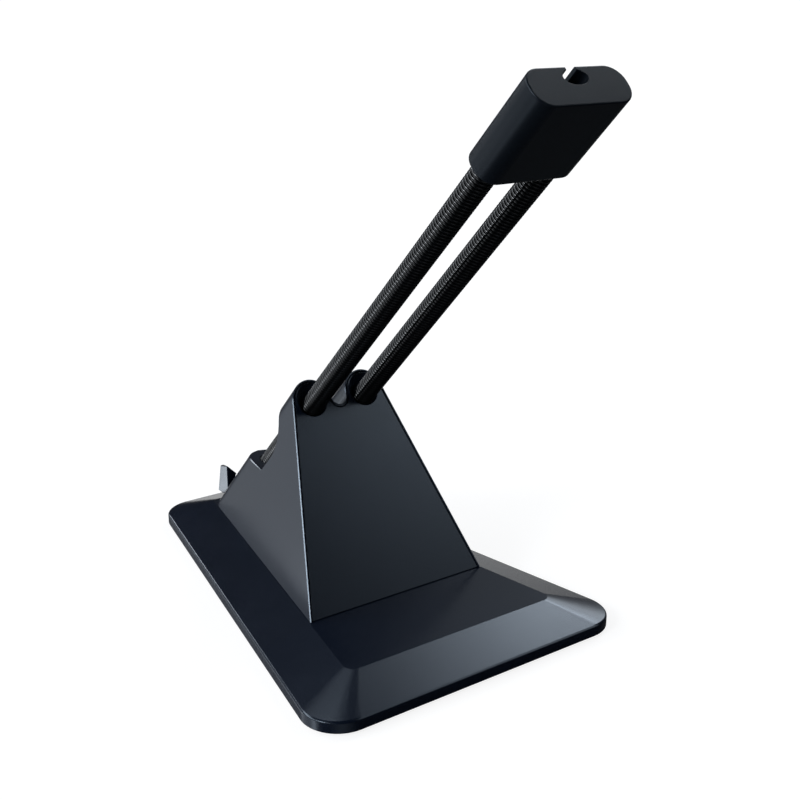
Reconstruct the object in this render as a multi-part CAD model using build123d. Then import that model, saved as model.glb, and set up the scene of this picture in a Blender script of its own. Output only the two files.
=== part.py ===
from build123d import *
import os
from math import ceil, cos, radians, sin, sqrt, tan

# Mouse bungee: a weighted base, a wedge tower and a cable head carried by two coil springs.
# Millimetres, +Z up, X across; the springs lean towards -Y, which is the front.
# The origin is on the floor, below the middle of the object's whole length.

# Base: a plate that narrows towards the back, with an upright lip and a sloped border
base_front_width = 74.35
base_depth = 105.0
base_taper = 10.25
base_corner_radius = 7.5
lip_height = 2.4
lip_bevel = 0.3
border_rise = 3.35
border_front = 9.4
border_back = 10.4
top_corner_radius = 2.0
cover_wall = 1.6
lip_wall = 2.0

# Underside
foot_radius = 5.0
foot_thickness = 0.65
foot_edge_inset = 9.5
plate_thickness = 1.2
plate_clearance = 0.15
ballast_thickness = 2.4
ballast_clearance = 0.3
ballast_wall = 0.5

# Screws
base_screw_radius = 1.0
base_screw_head_radius = 2.2
base_screw_length = 4.6
base_screw_cross_length = 2.5
base_screw_cross_width = 0.55
base_screw_cross_depth = 0.7
base_boss_radius = 3.0
base_screw_front_setback = 14.5
base_screw_back_inset = 19.0
base_screw_side_inset = 4.4
tower_screw_radius = 1.15
tower_screw_head_radius = 2.6
tower_screw_head_height = 1.6
tower_screw_length = 9.0
tower_boss_radius = 3.1
tower_boss_height = 9.0
tower_screw_front_reach = 43.8
tower_screw_back_reach = 11.8
tower_screw_side_inset = 4.6
screw_clearance = 0.05
screw_tip_room = 0.4

# Tower: a wedge whose sides run on from the edges of the base's top and follow the springs
tower_depth = 59.15
tower_front_lean = 30.95
tower_side_wall = 3.0
tower_spring_wall = 6.6
tower_side_inset = 0.1
tower_flare = 0.64
housing_rise = 0.42
housing_radius = 4.1
notch_floor_height = 18.2
notch_wall = -3.1
notch_top = 44.2
notch_radius = 8.0

# Front panel, let into the tower's front face with a thin rim all round
panel_thickness = 2.0
panel_recess = 0.15
panel_rim = 0.45
panel_gap = 0.18
panel_sink = 1.05

# Arm: two close-wound springs on axes that lean forward
arm_lean = 45.4
arm_foot_inset = 17.35
spring_spacing = 12.76
spring_diameter = 4.7
wire_diameter = 0.8
turn_pitch = 0.83
turn_groove = 0.3
spring_seat = 10.0
spring_socket = 12.0
spring_clearance = 0.1
pin_clearance = 0.05
pin_length = 14.0
pin_head_grip = 2.6
set_screw_radius = 1.2
set_screw_place = 18.0
set_screw_hex = 0.65
set_screw_hex_depth = 1.2

# Head: a stadium-like block along the springs, with a keyhole slot for the cable
head_reach = 130.0
head_side_wall = 1.1
head_thickness = 7.3
head_length = 18.4
head_corner_radius = 3.3
head_edge_round = 0.3
eye_width = 5.0
eye_height = 2.9
eye_offset = 1.6
eye_mouth = 2.1

# Rear cable clip: an upright plate with a V mouth over a round eye
clip_width = 10.0
clip_gap = 0.4
clip_top_depth = 3.7
clip_foot_depth = 5.5
clip_front_height = 7.75
clip_back_height = 6.75
clip_undercut = 0.55
clip_eye_radius = 3.0
clip_eye_height = 3.6
clip_neck = 4.2
clip_foot_width = 7.0
clip_peg_width = 4.0
clip_peg_length = 2.4
clip_peg_depth = 1.6
clip_peg_clearance = 0.05

# Heights and places that follow from the sizes above
lean_sin = sin(radians(arm_lean))
lean_cos = cos(radians(arm_lean))
head_top = head_reach + head_length
head_nose = (
    (head_top - head_edge_round) * lean_sin
    + (head_thickness / 2 - head_edge_round) * lean_cos
    + head_edge_round
)
head_overhang = head_nose - (base_depth - arm_foot_inset)
front_y = head_overhang - (base_depth + head_overhang) / 2
back_y = front_y + base_depth
clip_front = back_y - border_back + clip_gap
base_z = foot_thickness
plate_top_z = base_z + plate_thickness
lip_z = base_z + lip_height
top_z = lip_z + border_rise
cavity_z = top_z - cover_wall
taper_tan = tan(radians(base_taper))
taper_cos = cos(radians(base_taper))
spring_radius = spring_diameter / 2
spring_bore = spring_radius + spring_clearance
spring_inside = spring_radius - wire_diameter
pin_radius = spring_inside - pin_clearance
spring_x = spring_spacing / 2
head_width = spring_spacing + 2 * (spring_bore + head_side_wall)
far = 3 * (base_depth + head_top)

# Arm frame: local X across, local Y away from the springs' front, local Z up along the springs
arm_foot = Vector(0, back_y - arm_foot_inset, top_z)
arm = Plane(origin=arm_foot, x_dir=(1, 0, 0), z_dir=(0, -lean_sin, lean_cos))
# The same frame seen from the side: local X is the arm frame's Y, local Y its Z
arm_side = Plane(origin=arm_foot, x_dir=(0, lean_cos, lean_sin), z_dir=(1, 0, 0))
# Side view of the whole object: local X is Y, local Y is Z
upright_side = Plane(origin=(0, 0, 0), x_dir=(0, 1, 0), z_dir=(1, 0, 0))

# Tower's sides: they lean with the springs, and the sides of the base's flat top run along their feet
flare_tan = tan(radians(tower_flare))
side_slope = (taper_tan - flare_tan * lean_sin) / lean_cos
side_stretch = sqrt(1 + side_slope**2)
tower_half_width = spring_x + housing_radius * side_stretch + side_slope * housing_rise


def half_width(y, inset=0.0):
    """Half of the base's width at y, with its sides moved in by inset."""
    return base_front_width / 2 - taper_tan * (y - front_y) - inset / taper_cos


border_side = (half_width(arm_foot.Y) - tower_half_width) * taper_cos - tower_side_inset


def base_outline(z, front, side, back, radius):
    """A face at height z with the base's outline, moved in from its edges and rounded."""
    near = front_y + front
    rear = back_y - back
    corners = [
        (-half_width(near, side), near),
        (half_width(near, side), near),
        (half_width(rear, side), rear),
        (-half_width(rear, side), rear),
    ]
    shape = Polygon(*corners, align=None)
    return Pos(0, 0, z) * fillet(shape.vertices(), radius)


def even_outline(z, inset):
    """The base's outline moved in by the same amount all round."""
    return base_outline(z, inset, inset, inset, base_corner_radius - inset)


def top_outline(z, inset=0.0):
    """The outline of the base's flat top, moved in by inset."""
    return base_outline(z, border_front + inset, border_side + inset, border_back + inset, top_corner_radius)


def post(x, y, low, high, radius, top_radius=None):
    """An upright round post or, with top_radius, a cone."""
    place = Pos(x, y, (low + high) / 2)
    if top_radius is None:
        return place * Cylinder(radius, high - low)
    return place * Cone(radius, top_radius, high - low)


def arm_rod(x, low, high, radius):
    """A round bar along a spring's axis, between two distances up the arm."""
    return arm * (Pos(x, 0, (low + high) / 2) * Cylinder(radius, high - low))


def side_prism(plane, outline, half_length=far):
    """A solid with an outline drawn in a side view, spread to both sides of the middle."""
    return extrude(plane * outline, half_length, both=True)


def joined(solids):
    """Separate solids of one kind as a group."""
    return Compound(children=list(solids))


def paired(x, y):
    """A point and its mirror image across the middle."""
    return [(-x, y), (x, y)]


def side_places(front, back, inset):
    """Four places near the side edges of the base's flat top."""
    places = []
    for y in (front, back):
        places += paired(half_width(y, border_side) - inset, y)
    return places


base_screw_places = side_places(
    front_y + base_screw_front_setback, back_y - base_screw_back_inset, base_screw_side_inset
)
tower_screw_places = side_places(
    arm_foot.Y - tower_screw_front_reach, arm_foot.Y - tower_screw_back_reach, tower_screw_side_inset
)


def make_base_cover():
    """Lip, sloped border and flat top, hollow below for the ballast and the bottom plate."""
    bevel_z = lip_z - lip_bevel
    cover = extrude(even_outline(base_z, 0), lip_height - lip_bevel)
    cover += loft([even_outline(bevel_z, 0).face(), even_outline(lip_z, lip_bevel).face()], ruled=True)
    cover += loft([even_outline(lip_z, lip_bevel).face(), top_outline(top_z).face()], ruled=True)
    cover -= extrude(even_outline(base_z, lip_wall), plate_thickness)
    cover -= extrude(top_outline(plate_top_z, ballast_wall), cavity_z - plate_top_z)
    for x, y in base_screw_places:
        cover += post(x, y, plate_top_z, cavity_z, base_boss_radius)
        hole_top = base_z + base_screw_length + screw_tip_room
        cover -= post(x, y, plate_top_z, hole_top, base_screw_radius + screw_clearance)
    for x, y in tower_screw_places:
        cover -= post(x, y, cavity_z, top_z, tower_screw_radius + screw_clearance)
    cover -= clip_peg(clip_peg_clearance)
    cover -= clip_seat()
    return cover


def make_bottom_plate():
    """Steel sheet with countersunk holes, let into the cover's underside."""
    plate = extrude(even_outline(base_z, lip_wall + plate_clearance), plate_thickness)
    for x, y in base_screw_places:
        wide = base_screw_head_radius + screw_clearance
        plate -= post(x, y, base_z, plate_top_z, wide, base_screw_radius + screw_clearance)
    return plate


def make_ballast_plate():
    """Steel weight on the bottom plate, with room for the screw bosses and the tower's screws."""
    ballast = extrude(top_outline(plate_top_z, ballast_wall + ballast_clearance), ballast_thickness)
    ballast_z = plate_top_z + ballast_thickness
    for x, y in base_screw_places:
        ballast -= post(x, y, plate_top_z, ballast_z, base_boss_radius + ballast_clearance)
    for x, y in tower_screw_places:
        ballast -= post(x, y, plate_top_z, ballast_z, tower_screw_head_radius + ballast_clearance)
    return ballast


def make_base_screws():
    """Flat-headed screws with cross recesses, through the bottom plate into the cover's bosses."""
    screws = []
    for x, y in base_screw_places:
        screw = post(x, y, base_z, plate_top_z, base_screw_head_radius, base_screw_radius)
        screw += post(x, y, plate_top_z, base_z + base_screw_length, base_screw_radius)
        for turn in (45, 135):
            slot = Box(base_screw_cross_length, base_screw_cross_width, 2 * base_screw_cross_depth)
            screw -= Pos(x, y, base_z) * Rot(0, 0, turn) * slot
        screws.append(screw)
    return joined(screws)


def make_tower_screws():
    """Round-headed screws from inside the base up into the tower's bosses."""
    screws = []
    for x, y in tower_screw_places:
        head = post(x, y, cavity_z - tower_screw_head_height, cavity_z, tower_screw_head_radius)
        screws.append(head + post(x, y, cavity_z, cavity_z + tower_screw_length, tower_screw_radius))
    return joined(screws)


# Tower's section across the springs: straight sides run tangent into the round spring housings,
# and these run tangent into the round cable groove between them
tower_lowest = -tower_depth * lean_cos - border_rise
tower_ends = (-notch_top, tower_depth + notch_top)
front_foot = Vector(arm_foot.Y - tower_depth, top_z)
front_run = Vector(sin(radians(tower_front_lean)), cos(radians(tower_front_lean)))
# Distance up the springs at which they leave the tower's front face
mouth = tower_depth * front_run.Y / (lean_sin * front_run.Y + lean_cos * front_run.X)


def tower_half(offset, along, wall=0.0):
    """Half of the tower's width at an offset from the springs and a distance up them, less a wall."""
    return tower_half_width - side_slope * offset + flare_tan * along - wall * side_stretch


def housing_at(along, wall=0.0):
    """Radius of the round spring housings at a distance up the springs, less a wall."""
    return (tower_half(housing_rise, along, wall) - spring_x) / side_stretch


def tower_form(wall=0.0):
    """The tower's outer form before its ends are cut, less a wall all round."""
    sections = []
    for along in tower_ends:
        radius = housing_at(along, wall)
        groove = spring_x - radius
        low_x = tower_half(tower_lowest, along, wall)
        touch = (spring_x + radius / side_stretch, housing_rise + radius * side_slope / side_stretch)
        crest = (spring_x, housing_rise + radius)
        outline = [
            Line((-low_x, tower_lowest), (low_x, tower_lowest)),
            Line((low_x, tower_lowest), touch),
            ThreePointArc(touch, crest, (groove, housing_rise)),
            ThreePointArc((groove, housing_rise), (0, housing_rise - groove), (-groove, housing_rise)),
            ThreePointArc((-groove, housing_rise), (-crest[0], crest[1]), (-touch[0], touch[1])),
            Line((-touch[0], touch[1]), (-low_x, tower_lowest)),
        ]
        sections.append(arm.offset(along) * make_face(outline).face())
    return loft(sections, ruled=True)


def tower_hollow():
    """The space between the tower's side walls, in front of the block that holds the springs."""
    sections = []
    for along in tower_ends:
        low_x = tower_half(tower_lowest, along, tower_side_wall)
        high_x = tower_half(-tower_spring_wall, along, tower_side_wall)
        corners = [
            (-low_x, tower_lowest),
            (low_x, tower_lowest),
            (high_x, -tower_spring_wall),
            (-high_x, -tower_spring_wall),
        ]
        sections.append(arm.offset(along) * Polygon(*corners, align=None).face())
    return loft(sections, ruled=True)


def front_slab(near, deep, foot_gap=0.0):
    """The space between two depths behind the tower's front face, above the base's top."""
    inward = Vector(front_run.Y, -front_run.X)
    corners = []
    for depth, length in ((near, -far), (deep, -far), (deep, far), (near, far)):
        corner = front_foot + inward * depth + front_run * length
        corners.append((corner.X, corner.Y))
    above = Pos(0, top_z + foot_gap + far / 2) * Rectangle(2 * far, far)
    return side_prism(upright_side, Polygon(*corners, align=None) & above)


def notch_outline():
    """Side view of the scoop in the tower's back, as offsets from the springs and distances up them."""
    reach = housing_rise + housing_at(mouth) + notch_radius

    def floor_at(offset):
        return (notch_floor_height - offset * lean_sin) / lean_cos

    corners = [
        (notch_wall, floor_at(notch_wall)),
        (notch_wall, notch_top),
        (reach, notch_top),
        (reach, floor_at(reach)),
    ]
    shape = Polygon(*corners, align=None)
    inner_corner = shape.vertices().sort_by_distance((notch_wall, notch_top))[0]
    return fillet(inner_corner, notch_radius)


def make_tower_shell():
    """Side walls, spring housings with the cable groove between them, and screw bosses."""
    outer = tower_form() & front_slab(0, far)
    outer -= side_prism(arm_side, notch_outline())
    shell = outer - (tower_hollow() & front_slab(0, far))
    shell -= tower_form(panel_rim) & front_slab(0, panel_recess + panel_thickness)
    for x, y in tower_screw_places:
        shell += post(x, y, top_z, top_z + tower_boss_height, tower_boss_radius) & outer
        hole_top = cavity_z + tower_screw_length + screw_tip_room
        shell -= post(x, y, top_z, hole_top, tower_screw_radius + screw_clearance)
    for x in (-spring_x, spring_x):
        shell -= arm_rod(x, spring_seat, far, spring_bore)
        shell -= set_screw_rod(x, tower_spring_wall, set_screw_radius + screw_clearance)
    return shell


def make_front_panel():
    """Flat plate let into the tower's front, with countersunk holes that the springs come through."""
    panel = tower_form(panel_rim + panel_gap) & front_slab(
        panel_recess, panel_recess + panel_thickness, panel_gap
    )
    for x in (-spring_x, spring_x):
        panel -= arm_rod(x, spring_seat, far, spring_bore)
        low = mouth - panel_sink
        sink = Cone(spring_bore, spring_bore + 2 * panel_sink, 2 * panel_sink)
        panel -= arm * (Pos(x, 0, low + panel_sink) * sink)
    return panel


def set_screw_rod(x, start, radius):
    """A round bar square to a spring, from inside the tower up to the spring's bore."""
    length = start - spring_bore
    middle = -(start + spring_bore) / 2
    return arm * (Pos(x, middle, set_screw_place) * Rot(90, 0, 0) * Cylinder(radius, length))


def make_set_screws():
    """Grub screws with hexagon sockets that lock the springs in the tower."""
    screws = []
    for x in (-spring_x, spring_x):
        screw = set_screw_rod(x, tower_spring_wall, set_screw_radius)
        end = Plane(origin=arm.from_local_coords((x, -tower_spring_wall, set_screw_place)), z_dir=arm.y_dir)
        socket = extrude(end * RegularPolygon(set_screw_hex, 6), set_screw_hex_depth)
        screws.append(screw - socket)
    return joined(screws)


def make_spring(x):
    """Close-wound spring as a ribbed sleeve, with plain ends inside the tower and the head."""
    top = head_reach + spring_socket
    ribs_low = notch_floor_height / lean_cos - spring_diameter
    count = ceil((head_reach + wire_diameter - ribs_low) / turn_pitch)
    profile = [(spring_inside, spring_seat), (spring_radius, spring_seat)]
    for turn in range(count):
        crest = ribs_low + turn * turn_pitch
        profile.append((spring_radius, crest))
        profile.append((spring_radius - turn_groove, crest + turn_pitch / 2))
    profile += [(spring_radius, ribs_low + count * turn_pitch), (spring_radius, top), (spring_inside, top)]
    axis_plane = Plane(origin=arm.from_local_coords((x, 0, 0)), x_dir=(1, 0, 0), z_dir=-arm.y_dir)
    axis = Axis(axis_plane.origin, arm.z_dir)
    return revolve(axis_plane * Polygon(*profile, align=None), axis, 360)


def make_anchor_pin(x):
    """Pin inside a spring's lower end."""
    return arm_rod(x, spring_seat, spring_seat + pin_length, pin_radius)


def make_head_pin(x):
    """Pin inside a spring's upper end, held by the head."""
    top = head_reach + spring_socket + pin_head_grip
    return arm_rod(x, top - pin_length, top, pin_radius)


def make_head_block():
    """Cable head with sockets for the springs and a keyhole slot that opens to the back."""
    section = RectangleRounded(head_width, head_thickness, head_corner_radius)
    block = extrude(section, head_length)
    ends = block.faces().sort_by(Axis.Z)
    block = fillet(ends[0].edges() + ends[-1].edges(), head_edge_round)
    eye = Pos(0, eye_offset) * Ellipse(eye_width / 2, eye_height / 2)
    eye += Pos(0, eye_offset + head_thickness / 2) * Rectangle(eye_mouth, head_thickness)
    block -= extrude(eye, head_length)
    for x in (-spring_x, spring_x):
        block -= Pos(x, 0, spring_socket / 2) * Cylinder(spring_bore, spring_socket)
        grip = spring_socket + pin_head_grip
        block -= Pos(x, 0, grip / 2) * Cylinder(pin_radius + pin_clearance, grip)
    return arm.offset(head_reach) * block


def clip_peg(clearance):
    """Peg under the rear clip that sits in the cover's border."""
    y = clip_front + clip_foot_depth / 2
    size = 2 * clearance
    low = border_height(y) - clip_peg_depth - clearance
    high = top_z
    peg = Box(clip_peg_width + size, clip_peg_length + size, high - low)
    return Pos(0, y, (low + high) / 2) * peg


def clip_seat():
    """The level step in the cover's border that the rear clip stands on."""
    low = top_z - clip_undercut
    width = clip_width + 2 * clip_peg_clearance
    near = clip_front - clip_peg_clearance
    return Pos(0, near + clip_foot_depth / 2, low + clip_undercut) * Box(width, clip_foot_depth, 2 * clip_undercut)


def border_height(y):
    """Height of the sloped border behind the base's flat top."""
    slope = border_rise / (border_back - lip_bevel)
    return top_z - slope * max(0, y - (back_y - border_back))


def make_rear_clip():
    """Upright plate with a V mouth over a round eye, on a narrower foot in the border."""
    near = clip_front
    low = top_z - clip_undercut
    side_view = [
        (near, low),
        (near + clip_foot_depth, low),
        (near + clip_top_depth, top_z + clip_back_height),
        (near, top_z + clip_front_height),
    ]
    clip = side_prism(upright_side, Polygon(*side_view, align=None), clip_width / 2)
    eye_z = top_z + clip_eye_height
    mouth_low = top_z + clip_front_height - (clip_width - clip_neck) / 2
    mouth = [
        (-clip_neck / 2, eye_z),
        (clip_neck / 2, eye_z),
        (clip_neck / 2, mouth_low),
        (clip_width / 2, top_z + clip_front_height),
        (-clip_width / 2, top_z + clip_front_height),
        (-clip_neck / 2, mouth_low),
    ]
    opening = Polygon(*mouth, align=None) + Pos(0, eye_z) * Circle(clip_eye_radius)
    clip -= extrude(Plane.XZ * opening, far, both=True)
    foot_back = near + clip_foot_depth * 0.8
    foot_view = [(near, border_height(near)), (foot_back, border_height(foot_back)), (foot_back, low), (near, low)]
    foot = side_prism(upright_side, Polygon(*foot_view, align=None), clip_foot_width / 2)
    below = Pos(0, front_y, top_z - clip_undercut - far / 2) * Box(far, far, far)
    return clip + foot + (clip_peg(0) & below)


def make_foot(x, y):
    """Round rubber foot under the bottom plate."""
    return post(x, y, 0, foot_thickness, foot_radius)


def build():
    """All pieces of the object by name."""
    parts = {
        "base_cover": make_base_cover(),
        "bottom_plate": make_bottom_plate(),
        "ballast_plate": make_ballast_plate(),
        "base_screws": make_base_screws(),
        "tower_screws": make_tower_screws(),
        "tower_shell": make_tower_shell(),
        "front_panel": make_front_panel(),
        "spring_set_screws": make_set_screws(),
        "head_block": make_head_block(),
        "rear_cable_clip": make_rear_clip(),
    }
    for side, x in (("left", -spring_x), ("right", spring_x)):
        parts[f"{side}_spring"] = make_spring(x)
        parts[f"{side}_anchor_pin"] = make_anchor_pin(x)
        parts[f"{side}_head_pin"] = make_head_pin(x)
    for end, y in (("front", front_y + foot_edge_inset), ("back", back_y - foot_edge_inset)):
        reach = half_width(y, foot_edge_inset)
        parts[f"{end}_left_foot"] = make_foot(-reach, y)
        parts[f"{end}_right_foot"] = make_foot(reach, y)
    return parts


os.makedirs("parts", exist_ok=True)
for name, shape in build().items():
    export_step(shape, f"parts/{name}.step")
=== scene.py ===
"""Dresses the mouse bungee: satin plastic base and tower, wound springs and a slotted cable head.

Everything is in metres in the part's own frame: +Z up, the springs lean towards -Y.
"""
import logging
import math
from dataclasses import dataclass, field, replace
from enum import Enum

import bmesh
import bpy
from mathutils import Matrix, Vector


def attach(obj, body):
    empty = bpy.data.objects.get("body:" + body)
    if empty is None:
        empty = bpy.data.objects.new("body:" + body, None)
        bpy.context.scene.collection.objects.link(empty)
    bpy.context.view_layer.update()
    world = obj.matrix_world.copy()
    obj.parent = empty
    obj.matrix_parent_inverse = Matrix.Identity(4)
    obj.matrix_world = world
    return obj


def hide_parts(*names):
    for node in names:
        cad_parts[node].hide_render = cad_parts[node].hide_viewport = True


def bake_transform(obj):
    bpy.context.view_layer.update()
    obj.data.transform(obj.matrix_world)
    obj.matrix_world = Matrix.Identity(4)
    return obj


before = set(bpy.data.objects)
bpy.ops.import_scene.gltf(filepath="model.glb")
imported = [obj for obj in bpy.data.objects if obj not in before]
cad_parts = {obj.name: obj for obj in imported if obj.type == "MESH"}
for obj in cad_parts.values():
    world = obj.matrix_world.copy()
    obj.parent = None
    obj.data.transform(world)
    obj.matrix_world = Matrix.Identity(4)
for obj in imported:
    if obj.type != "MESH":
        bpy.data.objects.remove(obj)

LOG = logging.getLogger("mouse_bungee")
MM = 0.001
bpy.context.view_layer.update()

Socket = bpy.types.NodeSocket
Colour = tuple[float, float, float]

# Most of a noise texture's values fall between these two.
NOISE_LOW = 0.3
NOISE_HIGH = 0.7


class Body(Enum):
    """The rigid bodies that pieces ride on."""

    STAND = "stand"
    HEAD = "head"


class Slot(Enum):
    """The record's material slots that dressed pieces name."""

    BASE = "base_plastic"
    TOWER = "tower_plastic"
    PANEL = "panel_plastic"
    CLIP = "clip_plastic"
    HEAD = "head_plastic"
    SPRING = "spring_steel"
    FOOT = "foot_rubber"


class Side(Enum):
    """Left and right as signs along X."""

    LEFT = -1
    RIGHT = 1


class NodeGraph:
    """A material's or world's node tree with short ways to add and join nodes."""

    def __init__(self, owner: bpy.types.ID) -> None:
        """Clears the owner's nodes.

        Args:
            owner: the material or world whose tree is filled.
        """
        owner.use_nodes = True
        self.tree = owner.node_tree
        self.tree.nodes.clear()

    def add(self, kind: str, **values: object) -> bpy.types.Node:
        """Adds a node and sets its properties and inputs.

        Args:
            kind: Blender's node type.
            values: properties by name, or inputs by name with spaces as underscores.

        Returns:
            The new node.
        """
        node = self.tree.nodes.new(kind)
        for name, value in values.items():
            if hasattr(node, name):
                setattr(node, name, value)
            else:
                node.inputs[name.replace("_", " ")].default_value = value
        return node

    def join(self, source: Socket, target: Socket) -> None:
        """Links an output to an input."""
        self.tree.links.new(source, target)

    def work_out(self, operation: str, *values: Socket | float, clamp: bool = False) -> Socket:
        """Adds a sum.

        Args:
            operation: Blender's name for it.
            values: what it is worked out from, sockets or plain numbers.
            clamp: whether the result is kept between 0 and 1.

        Returns:
            The result's socket.
        """
        node = self.add("ShaderNodeMath", operation=operation, use_clamp=clamp)
        for value, target in zip(values, node.inputs):
            if isinstance(value, Socket):
                self.join(value, target)
            else:
                target.default_value = value
        return node.outputs["Value"]

    def facing(self, way: Socket, toward: Vector) -> Socket:
        """Compares a direction with a fixed one.

        Args:
            way: the direction's socket.
            toward: unit vector of the fixed one.

        Returns:
            A socket with the cosine of the angle between them.
        """
        node = self.add("ShaderNodeVectorMath", operation="DOT_PRODUCT")
        self.join(way, node.inputs[0])
        node.inputs[1].default_value = toward
        return node.outputs["Value"]

    def noise(self, where: Socket, scale: float, octaves: float, gain: float) -> Socket:
        """Adds a noise texture.

        Args:
            where: the coordinates it reads.
            scale: repeats per metre.
            octaves: how many finer layers it has.
            gain: how strong the finer layers are.

        Returns:
            The noise value's socket.
        """
        node = self.add("ShaderNodeTexNoise", Scale=scale, Detail=octaves, Roughness=gain)
        self.join(where, node.inputs["Vector"])
        return node.outputs["Fac"]

    def spread(self, noise: Socket, low: float, high: float) -> Socket:
        """Maps a noise onto a range.

        Args:
            noise: the socket to map.
            low: result at the noise's low end.
            high: result at the noise's high end.

        Returns:
            The mapped socket.
        """
        ends = {"From_Min": NOISE_LOW, "From_Max": NOISE_HIGH, "To_Min": low, "To_Max": high}
        node = self.add("ShaderNodeMapRange", **ends)
        self.join(noise, node.inputs["Value"])
        return node.outputs["Result"]

    def tint(self, noise: Socket, dark: Colour, light: Colour) -> Socket:
        """Mixes two colours by a noise.

        Args:
            noise: the socket that mixes.
            dark: colour at the noise's low end.
            light: colour at the noise's high end.

        Returns:
            The colour's socket.
        """
        node = self.add("ShaderNodeValToRGB")
        first, last = node.color_ramp.elements
        first.position, first.color = NOISE_LOW, (*dark, 1)
        last.position, last.color = NOISE_HIGH, (*light, 1)
        self.join(noise, node.inputs["Fac"])
        return node.outputs["Color"]


@dataclass(frozen=True)
class Finish:
    """A surface finish with fine grain, slow colour drift and uneven gloss."""

    name: str
    dark: Colour
    light: Colour
    roughness: float
    roughness_spread: float = 0.015
    metallic: float = 0.0
    specular: float = 0.58
    sheen: Colour = (1.0, 1.0, 1.0)
    grain_scale: float = 3500.0
    grain_octaves: float = 3.0
    grain_gain: float = 0.55
    grain_height: float = 0.008 * MM
    drift_scale: float = 90.0
    drift_octaves: float = 4.0
    drift_gain: float = 0.6

    def material(self) -> bpy.types.Material:
        """Makes the finish's material, or returns it if it exists.

        Returns:
            The material.
        """
        found = bpy.data.materials.get(self.name)
        if found is not None:
            return found
        made = bpy.data.materials.new(self.name)
        graph = NodeGraph(made)
        place = graph.add("ShaderNodeTexCoord").outputs["Object"]
        shader = graph.add(
            "ShaderNodeBsdfPrincipled",
            Metallic=self.metallic,
            Specular_IOR_Level=self.specular,
            Specular_Tint=(*self.sheen, 1),
        )
        drift = graph.noise(place, self.drift_scale, self.drift_octaves, self.drift_gain)
        graph.join(graph.tint(drift, self.dark, self.light), shader.inputs["Base Color"])
        low = self.roughness - self.roughness_spread
        high = self.roughness + self.roughness_spread
        graph.join(graph.spread(drift, low, high), shader.inputs["Roughness"])
        grain = graph.noise(place, self.grain_scale, self.grain_octaves, self.grain_gain)
        bump = graph.add("ShaderNodeBump", Strength=1.0, Distance=self.grain_height)
        graph.join(grain, bump.inputs["Height"])
        graph.join(bump.outputs["Normal"], shader.inputs["Normal"])
        output = graph.add("ShaderNodeOutputMaterial")
        graph.join(shader.outputs["BSDF"], output.inputs["Surface"])
        return made

    def dress(self, thing: bpy.types.Object) -> None:
        """Puts the finish on an object in place of what it had."""
        thing.data.materials.clear()
        thing.data.materials.append(self.material())


BLUE_SHEEN = (0.76, 0.88, 1.0)
SATIN_BASE = Finish(
    "satin_base_plastic",
    dark=(0.0028, 0.0052, 0.0120),
    light=(0.0037, 0.0064, 0.0142),
    roughness=0.23,
    sheen=BLUE_SHEEN,
)
SATIN_TOWER = replace(SATIN_BASE, name="satin_tower_plastic")
SATIN_CLIP = replace(SATIN_BASE, name="satin_clip_plastic")
FINE_PANEL = Finish(
    "fine_panel_plastic",
    dark=(0.0024, 0.0050, 0.0112),
    light=(0.0032, 0.0060, 0.0132),
    roughness=0.22,
    sheen=BLUE_SHEEN,
)
SOFT_HEAD = Finish(
    "soft_head_plastic",
    dark=(0.0026, 0.0040, 0.0066),
    light=(0.0034, 0.0050, 0.0080),
    roughness=0.36,
    specular=0.28,
    sheen=BLUE_SHEEN,
)
COATED_SHEET = Finish(
    "coated_steel_sheet",
    dark=(0.012, 0.012, 0.013),
    light=(0.020, 0.020, 0.021),
    roughness=0.45,
)
ZINC_SCREW = Finish(
    "zinc_plated_screw",
    dark=(0.40, 0.40, 0.41),
    light=(0.52, 0.52, 0.52),
    roughness=0.30,
    metallic=1.0,
)
BLACK_WIRE = Finish(
    "black_coated_wire",
    dark=(0.0009, 0.0011, 0.0014),
    light=(0.0012, 0.0015, 0.0018),
    roughness=0.12,
    specular=0.5,
    grain_height=0.001 * MM,
)
FOOT_RUBBER = Finish(
    "matt_foot_rubber",
    dark=(0.008, 0.008, 0.008),
    light=(0.014, 0.014, 0.014),
    roughness=0.75,
    specular=0.3,
)


def new_piece(name: str, mesh: bpy.types.Mesh) -> bpy.types.Object:
    """Makes a scene object from a mesh.

    Args:
        name: the piece's name.
        mesh: its mesh, in the part's frame.

    Returns:
        The object.
    """
    thing = bpy.data.objects.new(name, mesh)
    bpy.context.scene.collection.objects.link(thing)
    return thing


def shade_by_area(mesh: bpy.types.Mesh, limit: float) -> None:
    """Shades small faces into large ones, so that flat faces stay flat and edges stay crisp.

    Args:
        mesh: the mesh that gets its own normals.
        limit: angle up to which faces that meet are shaded as one.
    """
    mesh.polygons.foreach_set("use_smooth", [True] * len(mesh.polygons))
    around: list[list[int]] = [[] for _ in mesh.vertices]
    for face in mesh.polygons:
        for corner in face.vertices:
            around[corner].append(face.index)
    facing = [face.normal.copy() for face in mesh.polygons]
    area = [face.area for face in mesh.polygons]
    least = math.cos(limit)
    normals = []
    for face in mesh.polygons:
        own = facing[face.index]
        for corner in face.vertices:
            total = Vector((0, 0, 0))
            for other in around[corner]:
                if own.dot(facing[other]) >= least:
                    total += facing[other] * area[other]
            normals.append(total.normalized() if total.length > 0 else own)
    mesh.normals_split_custom_set(normals)


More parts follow.
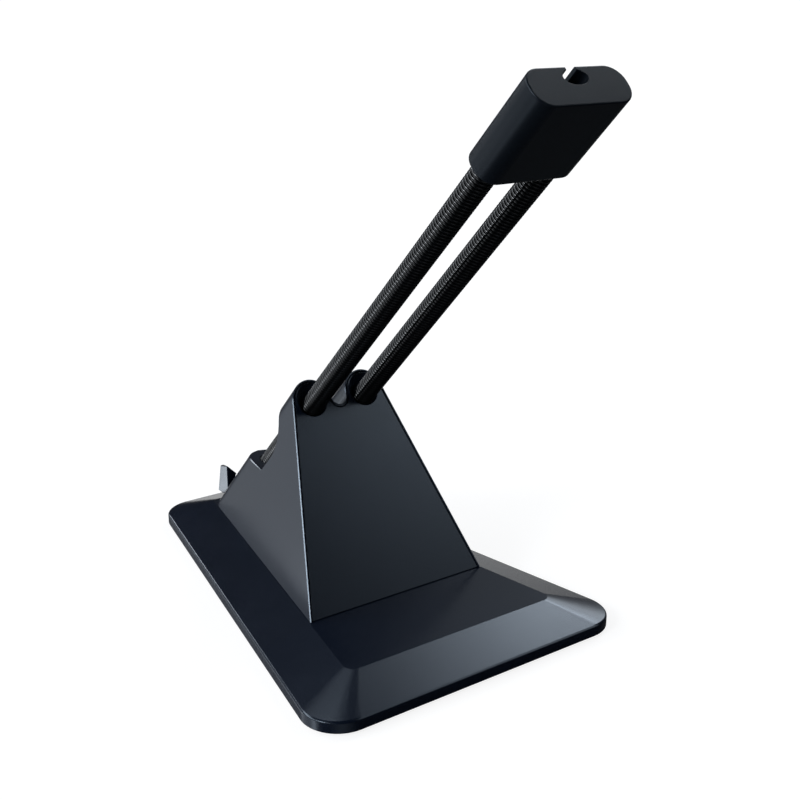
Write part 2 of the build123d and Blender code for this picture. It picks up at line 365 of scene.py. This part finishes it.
@dataclass
class RoundedCopy:
    """A moulded piece with its CAD node's form and softened edges. Angles are in degrees."""

    node: str
    slot: Slot
    body: Body
    finish: Finish
    edge: float
    segments: int = 3
    edge_angle: float = 25.0
    smooth_angle: float = 32.0
    room_per_edge: float = 1.6
    weld: float = 0.0005 * MM
    flat_angle: float = 0.4
    round_profile: float = 0.5

    def is_softened(self, edge: bmesh.types.BMEdge) -> bool:
        """Tells whether an edge is sharp and has room for rounding at both ends.

        Args:
            edge: an edge of the piece's form.

        Returns:
            True where the edge is rounded.
        """
        if len(edge.link_faces) != 2 or edge.calc_face_angle() <= math.radians(self.edge_angle):
            return False
        room = self.edge * self.room_per_edge
        return all(other.calc_length() > room for end in edge.verts for other in end.link_edges)

    def mould(self) -> bpy.types.Mesh:
        """Rounds the edges of the node's form.

        Returns:
            The piece's mesh.
        """
        form = bmesh.new()
        form.from_mesh(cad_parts[self.node].data)
        bmesh.ops.remove_doubles(form, verts=form.verts, dist=self.weld)
        flat = math.radians(self.flat_angle)
        bmesh.ops.dissolve_limit(form, angle_limit=flat, verts=form.verts, edges=form.edges)
        bmesh.ops.bevel(
            form,
            geom=[edge for edge in form.edges if self.is_softened(edge)],
            offset=self.edge,
            offset_type="OFFSET",
            segments=self.segments,
            profile=self.round_profile,
            affect="EDGES",
            clamp_overlap=False,
        )
        mesh = bpy.data.meshes.new(self.node + "_moulded")
        form.to_mesh(mesh)
        form.free()
        shade_by_area(mesh, math.radians(self.smooth_angle))
        return mesh

    def build(self) -> bpy.types.Object:
        """Builds the piece and puts it in the node's place.

        Returns:
            The piece.
        """
        piece = new_piece(self.node + "_moulded", self.mould())
        self.finish.dress(piece)
        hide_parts(self.node)
        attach(piece, self.body.value)
        return piece


@dataclass
class PlainNode:
    """A CAD node that stays as it is and only gets a finish."""

    node: str
    finish: Finish

    def build(self) -> bpy.types.Object:
        """Dresses the node.

        Returns:
            The node's object.
        """
        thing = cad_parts[self.node]
        self.finish.dress(thing)
        return thing


@dataclass
class ArmAxis:
    """The line that the springs follow, from where it meets the base's top."""

    foot: Vector = field(default_factory=lambda: Vector((0, 45.377, 6.4)) * MM)
    lean: float = math.radians(45.4)

    def along(self) -> Vector:
        """Unit vector up the springs."""
        return Vector((0, -math.sin(self.lean), math.cos(self.lean)))

    def behind(self) -> Vector:
        """Unit vector square to the springs, to the back."""
        return Vector((0, math.cos(self.lean), math.sin(self.lean)))

    def point(self, x: float, distance: float) -> Vector:
        """A point in the springs' plane.

        Args:
            x: place across.
            distance: distance up the springs.

        Returns:
            The point in the part's frame.
        """
        return self.foot + Vector((x, 0, 0)) + self.along() * distance


@dataclass
class CoilSpring:
    """A close-wound spring of round wire.

    A turn has no whole number of steps, so that the corners of neighbouring turns don't line up.
    """

    side: Side
    arm: ArmAxis
    spacing: float = 12.76 * MM
    diameter: float = 4.7 * MM
    wire: float = 0.78 * MM
    pitch: float = 0.79 * MM
    low: float = 10.0 * MM
    high: float = 142.0 * MM
    mouth: float = 52.2 * MM
    head_low: float = 130.0 * MM
    steps_per_turn: float = 32.4
    wire_sides: int = 8

    def rings(self) -> list[list[Vector]]:
        """Points of the wire's surface, ring by ring.

        Returns:
            One list of points for each ring.
        """
        coil = (self.diameter - self.wire) / 2
        run = self.high - self.low - self.wire
        count = round(run / self.pitch * self.steps_per_turn)
        across, behind, along = Vector((1, 0, 0)), self.arm.behind(), self.arm.along()
        x = self.side.value * self.spacing / 2
        rings = []
        for step in range(count + 1):
            turn = 2 * math.pi * step / self.steps_per_turn
            out = across * math.cos(turn) + behind * math.sin(turn)
            middle = self.arm.point(x, self.low + self.wire / 2 + run * step / count) + out * coil
            ring = []
            for corner in range(self.wire_sides):
                angle = 2 * math.pi * corner / self.wire_sides
                ring.append(middle + (out * math.cos(angle) + along * math.sin(angle)) * self.wire / 2)
            rings.append(ring)
        return rings

    def wind(self, name: str) -> bpy.types.Mesh:
        """Joins the wire's rings to a skin with closed ends.

        Args:
            name: the mesh's name.

        Returns:
            The wire's mesh.
        """
        rings = self.rings()
        sides = self.wire_sides
        points = [point for ring in rings for point in ring]
        faces = []
        for row in range(len(rings) - 1):
            for corner in range(sides):
                here = row * sides + corner
                beside = row * sides + (corner + 1) % sides
                faces.append((here, here + sides, beside + sides, beside))
        faces.append(tuple(range(sides)))
        faces.append(tuple(reversed(range(len(points) - sides, len(points)))))
        mesh = bpy.data.meshes.new(name)
        mesh.from_pydata(points, [], faces)
        mesh.polygons.foreach_set("use_smooth", [True] * len(mesh.polygons))
        mesh.update()
        return mesh

    def build(self) -> bpy.types.Object:
        """Builds the wound wire in place of the ribbed sleeve.

        Returns:
            The piece.
        """
        name = self.side.name.lower()
        title = f"{name}_coil_spring"
        piece = new_piece(title, self.wind(title))
        BLACK_WIRE.dress(piece)
        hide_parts(f"{name}_spring")
        start = self.arm.point(0, self.mouth)
        end = self.arm.point(0, self.head_low)
        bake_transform(piece)
        return piece


@dataclass(frozen=True)
class SoftPatch:
    """A soft round patch of light in the studio's surround, named for what it shows on."""

    shows_on: str
    toward: tuple[float, float, float]
    strength: float
    focus: float = 16.0


SOFT_PATCHES = (
    SoftPatch("right end of the front slope", (0.66, 0.24, 0.71), 6.8, 220),
    SoftPatch("right end of the front slope", (0.63, 0.22, 0.74), 5.6, 220),
    SoftPatch("front slope", (0.60, 0.21, 0.77), 0.3, 60),
    SoftPatch("front right corner slope", (0.80, 0.31, 0.51), 4.2, 60),
    SoftPatch("front panel", (0.61, -0.58, 0.54), 2.6, 120),
    SoftPatch("top of the front panel", (0.53, -0.44, 0.72), 1.4, 80),
    SoftPatch("foot of the front panel", (0.61, -0.71, 0.35), 0.4, 60),
    SoftPatch("front left corner slope", (0.05, 0.34, 0.94), 3.0, 150),
    SoftPatch("front left corner slope", (-0.05, 0.57, 0.82), 1.3, 60),
    SoftPatch("left edge of the base", (-0.38, 0.72, 0.58), 6.0, 150),
    SoftPatch("left edge of the base", (-0.56, 0.63, 0.53), 8.0, 150),
    SoftPatch("left edge of the base", (-0.73, 0.51, 0.46), 8.0, 150),
    SoftPatch("left edge of the base", (-0.84, 0.35, 0.41), 8.0, 150),
    SoftPatch("left edge of the base", (-0.92, 0.18, 0.35), 8.0, 150),
    SoftPatch("front left rim of the tower", (-0.86, -0.13, 0.50), 30.0, 150),
    SoftPatch("spring ribs", (-0.83, -0.34, 0.37), 3.0, 60),
    SoftPatch("left sides of the springs", (-0.95, 0.25, 0.20), 0.5),
    SoftPatch("left sides of the springs", (-1.00, -0.09, -0.01), 0.4),
    SoftPatch("left side of the tower", (-0.37, 0.89, 0.28), 0.1),
    SoftPatch("left side of the tower", (-0.18, 0.98, -0.07), 0.15),
    SoftPatch("left side of the tower", (-0.29, 0.93, -0.24), 0.42, 40),
    SoftPatch("foot of the tower's left side", (-0.38, 0.92, 0.00), 1.0, 100),
    SoftPatch("left side of the head", (-0.69, 0.73, -0.06), 0.35, 30),
    SoftPatch("edge of the back notch", (-0.16, 0.93, 0.33), 14.0, 400),
    SoftPatch("right end of the flat top", (0.63, 0.53, 0.57), 0.32),
    SoftPatch("front of the right slope", (0.86, 0.45, 0.22), 0.2),
    SoftPatch("rear clip", (-0.45, 0.80, -0.40), 6.6, 200),
    SoftPatch("left lip of the base", (-0.67, 0.56, -0.49), 0.7),
    SoftPatch("front left corner of the lip", (-0.79, 0.22, -0.57), 3.0, 150),
    SoftPatch("left end of the front lip", (-0.32, -0.70, -0.64), 0.3),
    SoftPatch("front of the head", (0.69, 0.07, -0.72), 0.05, 6),
)


@dataclass
class Studio:
    """Camera, pale floor and a surround with soft patches of light."""

    camera_place: tuple[float, float, float] = (-0.12616, -0.193123, 0.12272)
    azimuth: float = math.radians(-35.14)
    elevation: float = math.radians(18.67)
    focal_pixels: float = 1188.2
    frame_pixels: int = 800
    sensor: float = 36.0
    nearest_seen: float = 0.01
    farthest_seen: float = 200.0
    floor_reach: float = 60.0
    floor_drop: float = 0.02 * MM
    floor_tone: float = 0.5
    floor_glow: float = 0.85
    shadow_tone: float = 0.25
    patches: tuple[SoftPatch, ...] = SOFT_PATCHES
    light_colour: Colour = (0.89, 0.94, 1.0)
    backdrop_full: float = math.radians(14.0)
    backdrop_end: float = math.radians(21.5)

    def back(self) -> Vector:
        """Direction from the object to the camera.

        Returns:
            The unit vector.
        """
        level = math.cos(self.elevation)
        across = math.sin(self.azimuth) * level
        depth = -math.cos(self.azimuth) * level
        return Vector((across, depth, math.sin(self.elevation)))

    def make_camera(self) -> None:
        """Sets the camera where the picture was taken from."""
        lens = bpy.data.cameras.new("product_camera")
        lens.sensor_width = self.sensor
        lens.lens = self.focal_pixels / self.frame_pixels * self.sensor
        lens.clip_start = self.nearest_seen
        lens.clip_end = self.farthest_seen
        thing = bpy.data.objects.new("product_camera", lens)
        bpy.context.scene.collection.objects.link(thing)
        thing.location = self.camera_place
        thing.rotation_euler = (-self.back()).to_track_quat("-Z", "Y").to_euler()
        bpy.context.scene.camera = thing

    def floor_paint(self) -> bpy.types.Material:
        """Makes a matt paint that the camera sees as white with a faint shadow.

        Returns:
            The material.
        """
        paint = bpy.data.materials.new("pale_floor")
        graph = NodeGraph(paint)
        tone, shown = self.floor_tone, self.shadow_tone
        matt = graph.add("ShaderNodeBsdfDiffuse", Color=(tone, tone, tone, 1))
        pale = graph.add("ShaderNodeBsdfDiffuse", Color=(shown, shown, shown, 1))
        white = graph.add("ShaderNodeEmission", Color=(1, 1, 1, 1), Strength=self.floor_glow)
        picture = graph.add("ShaderNodeAddShader")
        graph.join(white.outputs["Emission"], picture.inputs[0])
        graph.join(pale.outputs["BSDF"], picture.inputs[1])
        mix = graph.add("ShaderNodeMixShader")
        graph.join(graph.add("ShaderNodeLightPath").outputs["Is Camera Ray"], mix.inputs["Fac"])
        graph.join(matt.outputs["BSDF"], mix.inputs[1])
        graph.join(picture.outputs["Shader"], mix.inputs[2])
        output = graph.add("ShaderNodeOutputMaterial")
        graph.join(mix.outputs["Shader"], output.inputs["Surface"])
        return paint

    def make_floor(self) -> None:
        """Lays a wide floor whose reflections are left to the surround."""
        reach, low = self.floor_reach, -self.floor_drop
        corners = [(-reach, -reach, low), (reach, -reach, low), (reach, reach, low), (-reach, reach, low)]
        mesh = bpy.data.meshes.new("studio_floor")
        mesh.from_pydata(corners, [], [(0, 1, 2, 3)])
        mesh.materials.append(self.floor_paint())
        floor = bpy.data.objects.new("studio_floor", mesh)
        bpy.context.scene.collection.objects.link(floor)
        floor.visible_glossy = False
        floor.visible_shadow = False

    def patch_light(self, graph: NodeGraph, way: Socket) -> Socket:
        """Adds up the light of all soft patches in a direction.

        Args:
            graph: the world's nodes.
            way: the direction.

        Returns:
            The light's socket.
        """
        total: Socket | float = 0.0
        for patch in self.patches:
            facing = graph.facing(way, Vector(patch.toward).normalized())
            fall = graph.work_out("MULTIPLY_ADD", facing, patch.focus, -patch.focus)
            glow = graph.work_out("EXPONENT", fall)
            total = graph.work_out("MULTIPLY_ADD", glow, patch.strength, total)
            total.node.label = patch.shows_on
        return total

    def backdrop(self, graph: NodeGraph, way: Socket) -> Socket:
        """Finds how much of a direction the white backdrop behind the object fills.

        Args:
            graph: the world's nodes.
            way: the direction.

        Returns:
            A socket with 1 on the backdrop and 0 beyond its soft border.
        """
        share = graph.add(
            "ShaderNodeMapRange",
            interpolation_type="SMOOTHSTEP",
            From_Min=math.cos(self.backdrop_end),
            From_Max=math.cos(self.backdrop_full),
        )
        graph.join(graph.facing(way, -self.back()), share.inputs["Value"])
        return share.outputs["Result"]

    def white_share(self, graph: NodeGraph, way: Socket) -> Socket:
        """Finds how much white a ray sees: all for the camera and glass, the backdrop for gloss.

        Args:
            graph: the world's nodes.
            way: the ray's direction.

        Returns:
            A socket from 0 to 1.
        """
        ray = graph.add("ShaderNodeLightPath").outputs
        clear = graph.work_out("MAXIMUM", ray["Is Camera Ray"], ray["Is Transmission Ray"])
        behind = self.backdrop(graph, way)
        return graph.work_out("MULTIPLY_ADD", ray["Is Glossy Ray"], behind, clear, clamp=True)

    def make_world(self) -> None:
        """Gives a surround of soft patches, with a backdrop that gloss shows and white for the camera."""
        world = bpy.data.worlds.new("studio_world")
        bpy.context.scene.world = world
        graph = NodeGraph(world)
        way = graph.add("ShaderNodeTexCoord").outputs["Generated"]
        light = graph.add("ShaderNodeBackground", Color=(*self.light_colour, 1))
        graph.join(self.patch_light(graph, way), light.inputs["Strength"])
        white = graph.add("ShaderNodeBackground", Color=(1, 1, 1, 1), Strength=1.0)
        mix = graph.add("ShaderNodeMixShader")
        graph.join(self.white_share(graph, way), mix.inputs["Fac"])
        graph.join(light.outputs["Background"], mix.inputs[1])
        graph.join(white.outputs["Background"], mix.inputs[2])
        output = graph.add("ShaderNodeOutputWorld")
        graph.join(mix.outputs["Shader"], output.inputs["Surface"])

    def build(self) -> None:
        """Makes the camera, floor and surround."""
        bpy.context.scene.view_settings.view_transform = "Standard"
        self.make_camera()
        self.make_floor()
        self.make_world()


@dataclass
class Bungee:
    """The whole object: base, tower, springs and head."""

    arm: ArmAxis = field(default_factory=ArmAxis)

    def parts(self) -> list[RoundedCopy | CoilSpring | PlainNode]:
        """The builders of all pieces in order.

        Returns:
            Objects with a build method.
        """
        stand, head = Body.STAND, Body.HEAD
        made = [
            RoundedCopy("base_cover", Slot.BASE, stand, SATIN_BASE, edge=0.12 * MM, smooth_angle=14.0),
            RoundedCopy("tower_shell", Slot.TOWER, stand, SATIN_TOWER, edge=0.16 * MM, segments=1),
            RoundedCopy("front_panel", Slot.PANEL, stand, FINE_PANEL, edge=0.04 * MM),
            RoundedCopy("rear_cable_clip", Slot.CLIP, stand, SATIN_CLIP, edge=0.25 * MM),
            RoundedCopy("head_block", Slot.HEAD, head, SOFT_HEAD, edge=0.12 * MM, edge_angle=40.0),
            CoilSpring(Side.LEFT, self.arm),
            CoilSpring(Side.RIGHT, self.arm),
            PlainNode("bottom_plate", COATED_SHEET),
            PlainNode("ballast_plate", COATED_SHEET),
        ]
        for node in ("base_screws", "tower_screws", "spring_set_screws"):
            made.append(PlainNode(node, ZINC_SCREW))
        for side in Side:
            name = side.name.lower()
            made.append(PlainNode(f"{name}_anchor_pin", ZINC_SCREW))
            made.append(PlainNode(f"{name}_head_pin", ZINC_SCREW))
            for end in ("front", "back"):
                foot = RoundedCopy(f"{end}_{name}_foot", Slot.FOOT, stand, FOOT_RUBBER, edge=0.25 * MM)
                made.append(foot)
        return made

    def build(self) -> None:
        """Builds every piece and reports it."""
        for part in self.parts():
            piece = part.build()
            LOG.info("%s: %d faces", piece.name, len(piece.data.polygons))


def main() -> None:
    """Builds the studio and the object."""
    logging.basicConfig(level=logging.INFO, format="%(name)s %(message)s")
    Studio().build()
    Bungee().build()


if __name__ == "__main__":
    main()
